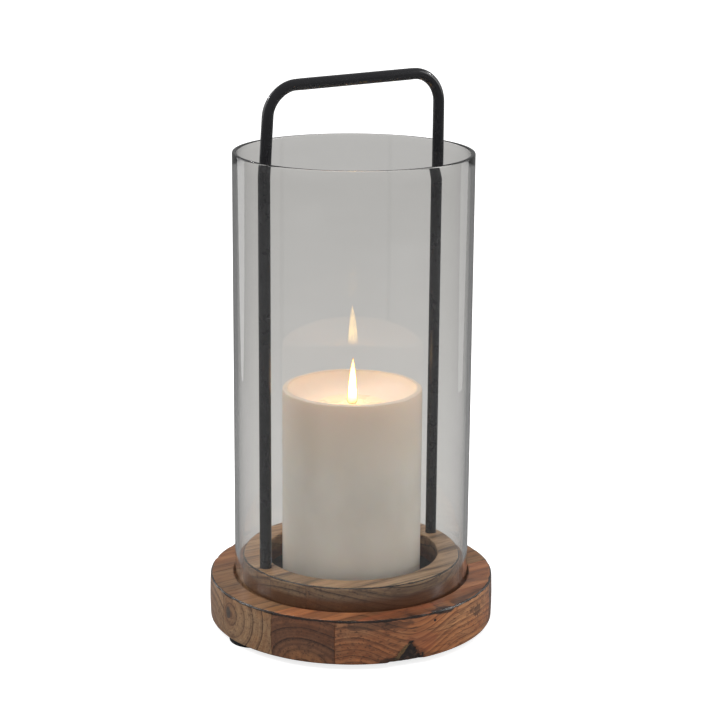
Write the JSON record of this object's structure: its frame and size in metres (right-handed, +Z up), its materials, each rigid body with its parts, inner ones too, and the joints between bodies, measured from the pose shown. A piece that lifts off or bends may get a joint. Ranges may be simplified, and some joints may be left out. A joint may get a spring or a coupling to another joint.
{
  "type": "hurricane candle holder",
  "caption": "Table-top hurricane candle holder: a turned wooden base with a raised collar, an open clear glass sleeve, a bent black rod carrying handle and a lit ivory pillar candle.",
  "frame": {"origin": "on the base's axis, at the surface the feet stand on", "axes": "+Z up along the glass sleeve's axis; the handle's plane is X-Z, with its bar along X"},
  "size_m": [0.2084, 0.2084, 0.4042],
  "materials": {
    "wood": "brown lacquered mango-like wood, darkened top edges, glue joints showing",
    "black_plate": "matt black",
    "black_rod": "satin black powder coat",
    "steel": "zinc plated",
    "rubber": "matt black",
    "glass": "clear, very slightly grey",
    "wax": "ivory wax, translucent, finely scratched",
    "wick": "charred cotton braid"
  },
  "bodies": {
    "base": {"base_board_1": "wood", "base_board_2": "wood", "base_board_3": "wood", "base_board_4": "wood", "base_board_5": "wood", "collar_ring": "wood", "candle_plate": "black_plate", "plate_screw": "steel", "handle": "black_rod", "handle_screw_left": "steel", "handle_screw_right": "steel", "handle_washer_left": "steel", "handle_washer_right": "steel", "foot_1": "rubber", "foot_2": "rubber", "foot_3": "rubber"},
    "glass": {"glass_sleeve": "glass"},
    "candle": {"candle_body": "wax", "wick": "wick", "wick_clip": "steel"}
  },
  "joints": [
    {"name": "glass_lift", "type": "slide", "parent": "base", "child": "glass", "axis": [0, 0, 1], "range_m": [0, 0.38]},
    {"name": "candle_lift", "type": "slide", "parent": "base", "child": "candle", "axis": [0, 0, 1], "range_m": [0, 0.19]}
  ]
}
